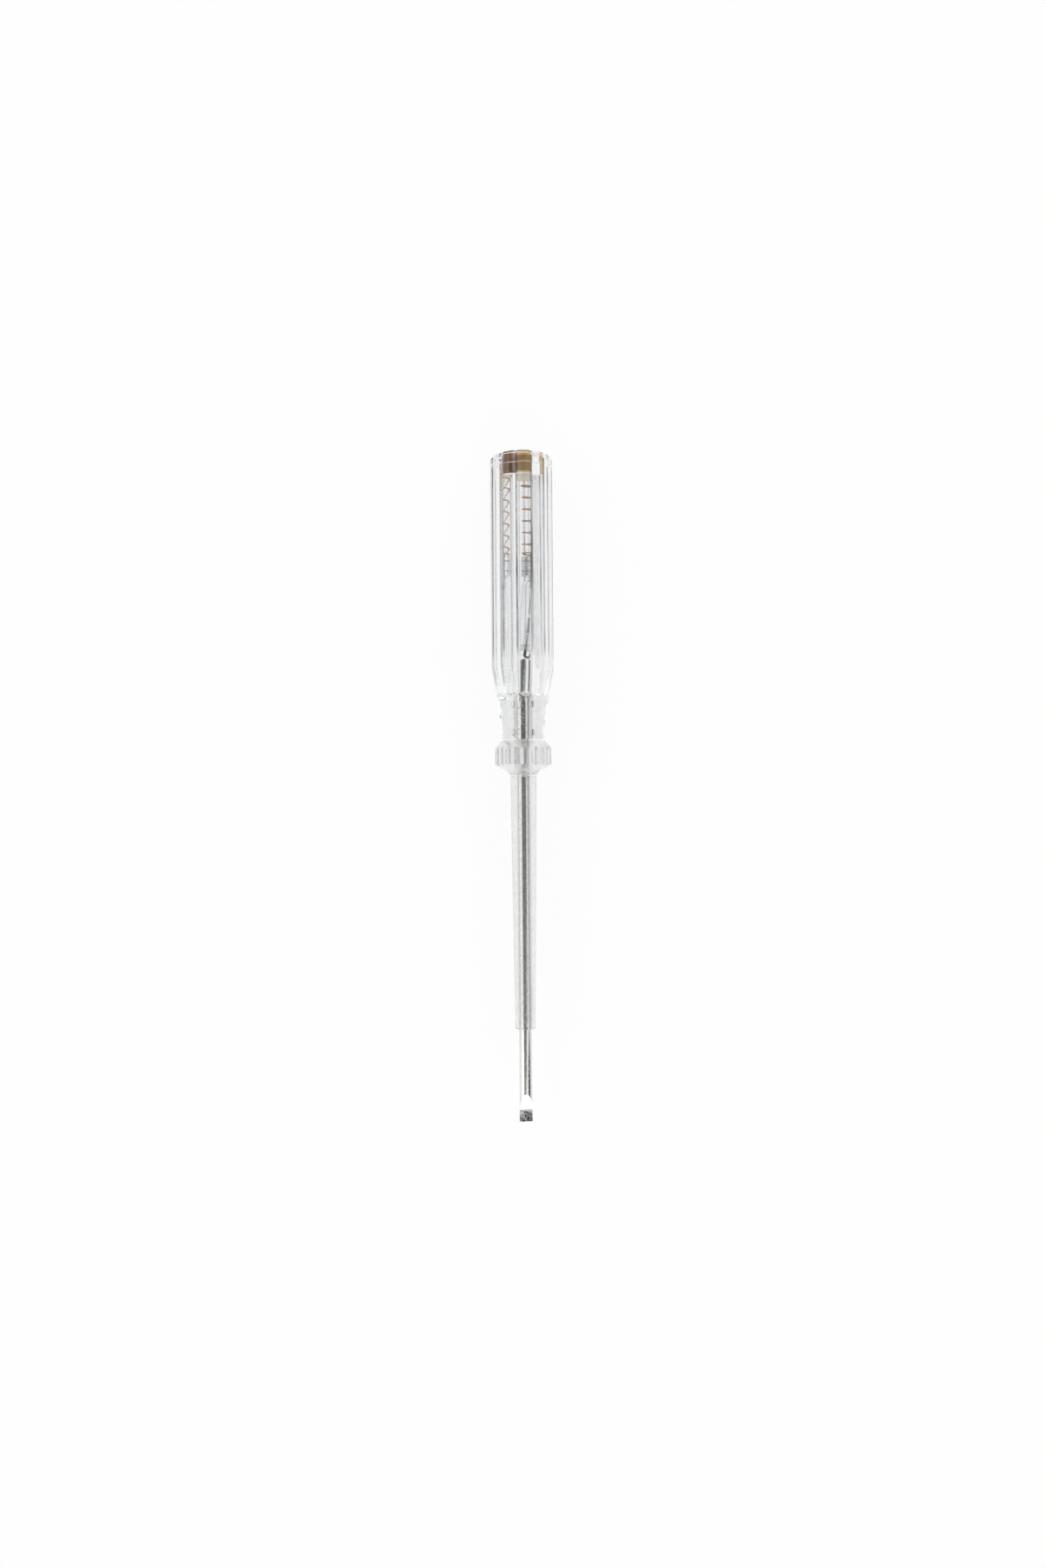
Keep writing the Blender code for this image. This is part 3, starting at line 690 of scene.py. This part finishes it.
rod_profile = soften([
    (TANG_TOP, 0.0), (TANG_TOP, BLADE_RADIUS - END_CHAMFER),
    (TANG_TOP - END_CHAMFER, BLADE_RADIUS), (TIP_END, BLADE_RADIUS), (TIP_END, 0.0)],
    BLADE_EDGE, 3, closed=False)
blade = turned("blade_rod", rod_profile, 128)
for side in (1, -1):
    cut(blade, *wedge(side))
work = bmesh.new()
work.from_mesh(blade.data)
ear_inset = EAR_EDGE + EAR_SIZE[0] / 2
for middle in (HANDLE_START + ear_inset, BORE_FLOOR - ear_inset):
    ear = chamfered_block("ear", (middle, 0.0, 0.0), EAR_SIZE, EAR_CHAMFER)
    work.from_mesh(ear)
bmesh.ops.recalc_face_normals(work, faces=work.faces)
work.to_mesh(blade.data)
work.free()
blade.data.shade_smooth()
blade.data.set_sharp_from_angle(angle=GRIND_ANGLE)
dress(blade, blade_steel, "handle", "blade_steel", "blade")

# ---- Sleeve

sleeve = turned("sleeve_tube", soften([
    (SLEEVE_END, SLEEVE_TOP_RADIUS), (SLEEVE_END, AIR_BORE), (SLEEVE_START, AIR_BORE),
    (SLEEVE_START, SLEEVE_END_RADIUS)], SLEEVE_ROUNDING, 6), 128)
dress(sleeve, sleeve_plastic, "handle", "sleeve_plastic", "insulating_sleeve")

# ---- Collar

# Place along the collar and share of its radius
COLLAR_SHARES = [(0.0, 0.48), (0.12, 0.58), (0.22, 0.81), (0.31, 1.02), (0.73, 1.02),
                 (0.83, 0.94), (0.94, 0.82), (1.0, 0.73)]
collar_length = COLLAR_END - COLLAR_START
collar_outside = [(COLLAR_START + collar_length * place, COLLAR_RADIUS * share)
                  for place, share in COLLAR_SHARES]
collar_line = soften(collar_outside, COLLAR_ROUNDING, 6, closed=False)
collar_inside = soften([
    collar_outside[-1], (COLLAR_END, AIR_BORE), (COLLAR_START, AIR_BORE), collar_outside[0]],
    COLLAR_BORE_ROUNDING, 3, closed=False)[1:-1]
COLLAR_ANGLES = lobe_angles(
    COLLAR_LOBES, [0.0, 0.2, 0.4, 0.55, 0.66, 0.74, 0.81, 0.88, 0.94, 1.0])


def collar_outline(angle, _, reach):
    """Flat flutes with narrow grooves, cut by the collar's round outline."""
    flutes = lobe_radius(angle, COLLAR_LOBES, COLLAR_RADIUS, crown=0.0001,
                         groove_width=0.0006, groove_depth=0.0004, edge=0.00006)
    return soft_least(flutes, reach, CUT_BLEND)


collar = fluted("collar_ring", collar_line, COLLAR_ANGLES, collar_outline, collar_inside)
dress(collar, collar_plastic, "handle", "collar_plastic", "guard_collar")

# ---- Handle

# Place along the taper and share of the widening
TAPER_SHARES = [(0.0, 0.0), (0.09, 0.07), (0.22, 0.18), (0.40, 0.36), (0.58, 0.55), (1.0, 1.0)]
CORNER_RADIUS = HANDLE_RADIUS / math.cos(math.pi / HANDLE_LOBES)
HANDLE_ANGLES = lobe_angles(
    HANDLE_LOBES, [0.0, 0.1, 0.2, 0.3, 0.4, 0.49, 0.58, 0.66, 0.74, 0.81, 0.87, 0.92, 0.96, 1.0])


def handle_outline(angle, x, reach):
    """Round lobes that meet in narrow grooves, drawn in together down to the bore's floor."""
    local = (angle + LOBE_STEP / 2) % LOBE_STEP - LOBE_STEP / 2
    reaches = []
    for turn in (abs(local), LOBE_STEP - abs(local)):
        across = min(LOBE_MIDDLE * math.sin(turn), LOBE_ROUND)
        reaches.append(LOBE_MIDDLE * math.cos(turn) + math.sqrt(LOBE_ROUND ** 2 - across ** 2))
    lobes = -soft_least(-reaches[0], -reaches[1], GROOVE_BLEND)
    if x > HANDLE_START + 2 * TAPER_LENGTH:
        return soft_least(lobes, reach, CUT_BLEND)
    crown = soft_least(HANDLE_RADIUS, reach, CUT_BLEND)
    t = min(max((x - BORE_FLOOR - FLUTE_START) / FLUTE_RISE, 0.0), 1.0)
    flute = t * t * (3 - 2 * t)
    return crown * (1 - flute * (1 - lobes / HANDLE_RADIUS))


def handle_stations():
    """Round profile that cuts the flutes: the taper, the plain barrel and the rounded rim."""
    stations = []
    taper_steps, barrel_steps = 84, 12
    run_out, clear = 1.06, 0.0006
    for i in range(taper_steps + 1):
        place = run_out * i / taper_steps
        share = along(TAPER_SHARES, place) if place < 1 else place
        reach = NECK_RADIUS + (CORNER_RADIUS - NECK_RADIUS) * share
        stations.append((HANDLE_START + TAPER_LENGTH * place, reach))
    barrel_start = stations[-1][0]
    barrel_end = HANDLE_END - RIM_ROUNDING
    plain_end = barrel_end - 2 * clear
    beyond = CORNER_RADIUS + clear
    for i in range(1, barrel_steps + 1):
        stations.append((barrel_start + (plain_end - barrel_start) * i / barrel_steps, beyond))
    stations.append((barrel_end - clear, beyond - clear / 2))
    for angle in range(0, 91, 6):
        turn = math.radians(angle)
        stations.append((barrel_end + RIM_ROUNDING * math.sin(turn),
                         CORNER_RADIUS - RIM_ROUNDING * (1 - math.cos(turn))))
    return stations


rim_bore = CAP_RIM_RADIUS + SLIP_GAP
plug_bore = CAP_PLUG_RADIUS + SLIP_GAP
handle_inside = soften([
    (HANDLE_END, CORNER_RADIUS - RIM_ROUNDING),
    (HANDLE_END, rim_bore),
    (CAP_STEP - SEAT_GAP, rim_bore),
    (CAP_STEP - SEAT_GAP, plug_bore),
    (CAP_START - SEAT_GAP, plug_bore),
    (CAP_START - SEAT_GAP, LAMP_BORE_RADIUS),
    (BORE_FLOOR + FLOOR_CHAMFER, LAMP_BORE_RADIUS),
    (BORE_FLOOR, LAMP_BORE_RADIUS - FLOOR_CHAMFER),
    (BORE_FLOOR, GRIPPED_BORE),
    (HANDLE_START, GRIPPED_BORE),
    (HANDLE_START, NECK_RADIUS)], BORE_ROUNDING, 5, closed=False)[1:-1]
handle = fluted(
    "handle_moulding", handle_stations(), HANDLE_ANGLES, handle_outline, handle_inside)
dress(handle, handle_plastic, "handle", "handle_plastic", "handle_body")

# ---- End cap

cap = turned("cap_plug", soften([
    (CAP_END, 0.0), (CAP_END, CAP_RIM_RADIUS - END_CHAMFER),
    (CAP_END - END_CHAMFER, CAP_RIM_RADIUS), (CAP_STEP, CAP_RIM_RADIUS),
    (CAP_STEP, CAP_PLUG_RADIUS), (CAP_START + PLUG_CHAMFER, CAP_PLUG_RADIUS),
    (CAP_START, CAP_PLUG_RADIUS - PLUG_CHAMFER), (CAP_START, 0.0)],
    CAP_ROUNDING, 3, closed=False), 128)
dress(cap, brass, "cap", "cap_brass", "end_cap")


# ---- Spring

def spring_path():
    """Wire's middle: a closed turn on the resistor, the open turns and a wide turn at the cap."""
    bottom = UPPER_CAP_HIGH.x + SEAT_GAP + SPRING_WIRE
    top = CAP_START - SEAT_GAP - SPRING_WIRE
    open_rise = top - bottom - SPRING_CLOSED_LEAD - SPRING_WIDE_LEAD
    turns = 2 + SPRING_OPEN_TURNS
    count = round(turns * SPRING_TURN_POINTS)
    path = []
    for i in range(count + 1):
        turn = turns * i / count
        opened = min(max(turn - 1, 0.0), SPRING_OPEN_TURNS)
        widened = max(turn - 1 - SPRING_OPEN_TURNS, 0.0)
        x = bottom + SPRING_CLOSED_LEAD * min(turn, 1.0)
        x += open_rise * opened / SPRING_OPEN_TURNS + SPRING_WIDE_LEAD * widened
        blend = min(max(turn - SPRING_OPEN_TURNS, 0.0), 1.0)
        radius = SPRING_RADIUS + (SPRING_WIDE_RADIUS - SPRING_RADIUS) * blend
        angle = math.tau * turn
        path.append((x, radius * math.sin(angle), -radius * math.cos(angle)))
    return path


spring = wire("spring_coil", spring_path(), SPRING_WIRE, 16, BESIDE_AXIS)
dress(spring, bronze, "cap", "spring_bronze", "contact_spring")
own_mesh(spring)

# ---- Resistor

coat = turned("resistor_sleeve", soften([
    (COAT_HIGH.x, RESISTOR_RADIUS), (COAT_HIGH.x, RESISTOR_SKIRT), (COAT_LOW.x, RESISTOR_SKIRT),
    (COAT_LOW.x, RESISTOR_RADIUS)], COAT_ROUNDING, 4), 72, BESIDE_AXIS)
dress(coat, lacquer, "lamp_stack", "resistor_lacquer", "resistor_coat")
for name, node, low, high, outer_end in (
        ("resistor_top_ferrule", "resistor_upper_cap", UPPER_CAP_LOW.x, UPPER_CAP_HIGH.x, 1),
        ("resistor_foot_ferrule", "resistor_lower_cap", LOWER_CAP_LOW.x, LOWER_CAP_HIGH.x, -1)):
    end, mouth = (high, low) if outer_end > 0 else (low, high)
    inside = end - outer_end * RESISTOR_WALL
    ferrule = turned(name, soften([
        (end, RESISTOR_RADIUS), (mouth, RESISTOR_RADIUS), (mouth, RESISTOR_SKIRT),
        (inside, RESISTOR_SKIRT), (inside, RESISTOR_HOLE), (end, RESISTOR_HOLE)],
        FERRULE_ROUNDING, 4), 72, BESIDE_AXIS)
    dress(ferrule, tin, "lamp_stack", "tinned_steel", node)
top_stub = wire("resistor_top_wire", [
    (UPPER_CAP_HIGH.x - RESISTOR_WALL + LEAD_RADIUS, 0, 0),
    (UPPER_CAP_HIGH.x + RESISTOR_STUB - LEAD_RADIUS, 0, 0)], LEAD_RADIUS, 20, BESIDE_AXIS)
dress(top_stub, dark_wire, "lamp_stack", "lead_wire", "resistor_upper_lead")
foot_wire = wire("resistor_foot_wire", [
    (LOWER_CAP_LOW.x + RESISTOR_WALL - LEAD_RADIUS, 0, 0),
    (BEAD_MIDDLE + FINE_GAP / 2 + LEAD_RADIUS, 0, 0)], LEAD_RADIUS, 20, BESIDE_AXIS)
dress(foot_wire, dark_wire, "lamp_stack", "lead_wire", "resistor_lower_lead")
bead = turned("solder_bead", [
    (BEAD_HIGH.x, 0.00042), (BEAD_HIGH.x - 0.00012, 0.00060), (BEAD_MIDDLE + 0.00012, 0.00074),
    (BEAD_MIDDLE - 0.00014, 0.00075), (BEAD_LOW.x + 0.00013, 0.00062), (BEAD_LOW.x, 0.00042),
    (BEAD_LOW.x + 0.0001, 0.00036), (BEAD_HIGH.x - 0.0001, 0.00036)], 40, BESIDE_AXIS,
    BEAD_ANGLE)
dress(bead, solder, "lamp_stack", "solder", "solder_joint")


# ---- Lamp

def lamp_line():
    """Glass wall: drawn-in shoulders at both ends of a plain tube."""
    outside, inside = [], []
    steps = 14
    for i in range(steps + 1):
        t = i / steps
        along_axis = t * t * (1.4 - 0.4 * t)
        radius = LAMP_MOUTH + (LAMP_RADIUS - LAMP_MOUTH) * math.sin(t * math.pi / 2)
        outside.append((LAMP_TOP - LAMP_SHOULDER * along_axis, radius))
        inside.append((LAMP_TOP - (LAMP_SHOULDER + LAMP_WALL) * along_axis, radius - LAMP_WALL))
    mirror = LAMP_TOP + LAMP_BOTTOM
    outside += [(mirror - x, r) for x, r in reversed(outside)]
    inside += [(mirror - x, r) for x, r in reversed(inside)]
    return outside + inside[::-1]


envelope = turned("lamp_tube", lamp_line(), 96, LEANING)
dress(envelope, lamp_glass, "lamp_stack", "lamp_glass", "lamp_envelope")
seal_radius = LAMP_MOUTH - LAMP_WALL - FINE_GAP
for name, node, low, hole in (
        ("lamp_top_pinch", "lamp_upper_seal", LAMP_TOP - SEAL_LENGTH, LAMP_LEAD + FINE_GAP),
        ("lamp_foot_pinch", "lamp_lower_seal", LAMP_BOTTOM, HOOK_WIRE + FINE_GAP)):
    pinch = turned(name, soften([
        (low + SEAL_LENGTH, seal_radius), (low, seal_radius), (low, hole),
        (low + SEAL_LENGTH, hole)], SEAL_ROUNDING, 5), 48, LEANING)
    dress(pinch, seal_glass, "lamp_stack", "seal_glass", node)

upper_low = ELECTRODES_MIDDLE + ELECTRODE_SPACE / 2
upper_high = upper_low + ELECTRODE_LENGTH
lower_high = ELECTRODES_MIDDLE - ELECTRODE_SPACE / 2
lower_low = lower_high - ELECTRODE_LENGTH
for name, node, low, high in (
        ("electrode_top", "upper_electrode", upper_low, upper_high),
        ("electrode_foot", "lower_electrode", lower_low, lower_high)):
    electrode = turned(name, soften([
        (high, 0.0), (high, ELECTRODE_RADIUS), (low, ELECTRODE_RADIUS), (low, 0.0)],
        ELECTRODE_ROUNDING, 5, closed=False), 40, LEANING)
    dress(electrode, nickel, "lamp_stack", "electrode_nickel", node)

top_wire = wire("lamp_top_wire", [
    (upper_high + FINE_GAP + LAMP_LEAD, 0, 0), (BEAD_MIDDLE - FINE_GAP / 2 - LAMP_LEAD, 0, 0)],
    LAMP_LEAD, 20, LEANING)
dress(top_wire, bright_wire, "lamp_stack", "lead_wire", "lamp_upper_lead")
hook_path = [(lower_low - FINE_GAP - HOOK_WIRE, 0, 0), (HOOK_CENTRE, 0, 0)]
for angle in range(HOOK_TURN_STEP, HOOK_TURN + 1, HOOK_TURN_STEP):
    turn = math.radians(angle)
    hook_path.append((HOOK_CENTRE - HOOK_RADIUS * math.sin(turn),
                      HOOK_RADIUS * (1 - math.cos(turn)), 0))
hook = wire("lamp_foot_hook", hook_path, HOOK_WIRE, 20, LEANING)
dress(hook, hook_wire, "lamp_stack", "lead_wire", "lamp_lower_lead")

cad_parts["resistor_core"].data.materials.clear()
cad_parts["resistor_core"].data.materials.append(ceramic)


# ---- Floor, light and camera

TABLE_GLOW = 0.92
TABLE_HALF = 3.0
TABLE_GAP = 0.00005


def flat_sheet(name, half, height):
    """Square horizontal sheet round the origin."""
    mesh = bpy.data.meshes.new(name)
    mesh.from_pydata([(-half, -half, height), (half, -half, height), (half, half, height),
                      (-half, half, height)], [], [(0, 1, 2, 3)])
    item = bpy.data.objects.new(name, mesh)
    bpy.context.scene.collection.objects.link(item)
    return item


def floor_look():
    """White table. Part of its white doesn't depend on the light, so it stays plain."""
    material = bpy.data.materials.new("white_table")
    material.use_nodes = True
    nodes, links = material.node_tree.nodes, material.node_tree.links
    nodes.clear()
    out = nodes.new("ShaderNodeOutputMaterial")
    mix = nodes.new("ShaderNodeMixShader")
    white = nodes.new("ShaderNodeBsdfDiffuse")
    white.inputs["Color"].default_value = (0.96, 0.96, 0.96, 1.0)
    glow = nodes.new("ShaderNodeEmission")
    glow.inputs["Strength"].default_value = 1.0
    ray = nodes.new("ShaderNodeLightPath").outputs
    seen = math_node(material.node_tree, "MAXIMUM", ray["Is Camera Ray"], ray["Is Glossy Ray"])
    seen = math_node(material.node_tree, "MAXIMUM", seen, ray["Is Transmission Ray"])
    links.new(math_node(material.node_tree, "MULTIPLY", seen, TABLE_GLOW), mix.inputs["Fac"])
    links.new(white.outputs["BSDF"], mix.inputs[1])
    links.new(glow.outputs["Emission"], mix.inputs[2])
    links.new(mix.outputs["Shader"], out.inputs["Surface"])
    return material


table = flat_sheet("table", TABLE_HALF, FLOOR_HEIGHT - TABLE_GAP)
table.data.materials.append(floor_look())

# Brightness round the tool, by degrees from straight up towards -Y: beyond its tip, and elsewhere
TIP_LIGHT = [(-90, 1.30), (-62, 1.40), (-38, 1.45), (-31, 0.20), (11, 0.20), (17, 1.35),
             (31, 1.35), (40, 0.16), (90, 0.16)]
ROUND_LIGHT = [(-92, 0.90), (-90, 0.15), (-86, 0.15), (-84, 1.30), (-40, 1.40), (-31, 0.16),
               (25, 0.16), (35, 1.10), (60, 1.05), (63, 0.20), (72, 0.20), (76, 0.85), (90, 0.80)]
TIP_REACH = -0.26
TIP_BLUR = 0.01
ENDS_START, ENDS_FULL = 0.50, 0.72
ENDS_LEVEL = 0.9
LIGHT_STRENGTH = 2.0


def studio():
    """White to the camera. The tool is lit by bright and dark strips along it and pale ends."""
    world = bpy.data.worlds.new("studio")
    bpy.context.scene.world = world
    world.use_nodes = True
    tree = world.node_tree
    nodes, links = tree.nodes, tree.links
    nodes.clear()
    place = nodes.new("ShaderNodeTexCoord")
    split = nodes.new("ShaderNodeSeparateXYZ")
    links.new(place.outputs["Generated"], split.inputs["Vector"])
    x, y, z = split.outputs
    turn = math_node(tree, "ARCTAN2", math_node(tree, "MULTIPLY", y, -1.0), z)
    share = math_node(tree, "ADD", math_node(tree, "DIVIDE", turn, math.tau), 0.5)
    ramps = []
    for strips in (TIP_LIGHT, ROUND_LIGHT):
        ramp = nodes.new("ShaderNodeValToRGB")
        stops = ramp.color_ramp.elements
        while len(stops) < len(strips):
            stops.new(0.5)
        for stop, (degrees, value) in zip(stops, strips):
            stop.position = (degrees + 180) / 360
            level = value / LIGHT_STRENGTH
            stop.color = (level, level, level, 1.0)
        links.new(share, ramp.inputs["Fac"])
        ramps.append(ramp.outputs["Color"])
    past_tip = nodes.new("ShaderNodeMapRange")
    past_tip.inputs["From Min"].default_value = TIP_REACH - TIP_BLUR
    past_tip.inputs["From Max"].default_value = TIP_REACH + TIP_BLUR
    links.new(x, past_tip.inputs["Value"])
    across = nodes.new("ShaderNodeMix")
    across.data_type = "RGBA"
    links.new(past_tip.outputs["Result"], across.inputs["Factor"])
    links.new(ramps[0], across.inputs["A"])
    links.new(ramps[1], across.inputs["B"])
    ends = nodes.new("ShaderNodeMapRange")
    ends.interpolation_type = "SMOOTHSTEP"
    ends.inputs["From Min"].default_value = ENDS_START
    ends.inputs["From Max"].default_value = ENDS_FULL
    links.new(math_node(tree, "ABSOLUTE", x), ends.inputs["Value"])
    blend = nodes.new("ShaderNodeMix")
    blend.data_type = "RGBA"
    blend.inputs["B"].default_value = (ENDS_LEVEL, ENDS_LEVEL, ENDS_LEVEL, 1.0)
    links.new(ends.outputs["Result"], blend.inputs["Factor"])
    links.new(across.outputs["Result"], blend.inputs["A"])
    light = nodes.new("ShaderNodeBackground")
    light.inputs["Strength"].default_value = LIGHT_STRENGTH
    links.new(blend.outputs["Result"], light.inputs["Color"])
    white = nodes.new("ShaderNodeBackground")
    path = nodes.new("ShaderNodeLightPath")
    mix = nodes.new("ShaderNodeMixShader")
    out = nodes.new("ShaderNodeOutputWorld")
    white.inputs["Color"].default_value = (1.0, 1.0, 1.0, 1.0)
    links.new(path.outputs["Is Camera Ray"], mix.inputs["Fac"])
    links.new(light.outputs["Background"], mix.inputs[1])
    links.new(white.outputs["Background"], mix.inputs[2])
    links.new(mix.outputs["Shader"], out.inputs["Surface"])


studio()

# Light crosses many clear walls before it leaves the handle
bpy.context.scene.cycles.max_bounces = 32
bpy.context.scene.cycles.glossy_bounces = 24
bpy.context.scene.cycles.transmission_bounces = 24

CAMERA_TILT = math.radians(5.0)
CAMERA_ROLL = math.radians(0.45)
CAMERA_DISTANCE = 0.27
CAMERA_AIM = Vector((0.09675, 0.00031, 0.0))
camera_data = bpy.data.cameras.new("camera")
camera_data.sensor_fit = "VERTICAL"
camera_data.sensor_height = 36.0
camera_data.lens = 21.6
camera_data.clip_start = 0.01
camera = bpy.data.objects.new("camera", camera_data)
bpy.context.scene.collection.objects.link(camera)
back = Vector((0.0, math.sin(CAMERA_TILT), math.cos(CAMERA_TILT)))
flat_right = Vector((0.0, -math.cos(CAMERA_TILT), math.sin(CAMERA_TILT)))
along_x = Vector((1.0, 0.0, 0.0))
right = flat_right * math.cos(CAMERA_ROLL) - along_x * math.sin(CAMERA_ROLL)
up = flat_right * math.sin(CAMERA_ROLL) + along_x * math.cos(CAMERA_ROLL)
turn_to = Matrix((right, up, back)).transposed().to_4x4()
camera.matrix_world = Matrix.Translation(CAMERA_AIM + back * CAMERA_DISTANCE) @ turn_to
bpy.context.scene.camera = camera
bpy.context.scene.view_settings.view_transform = "Standard"
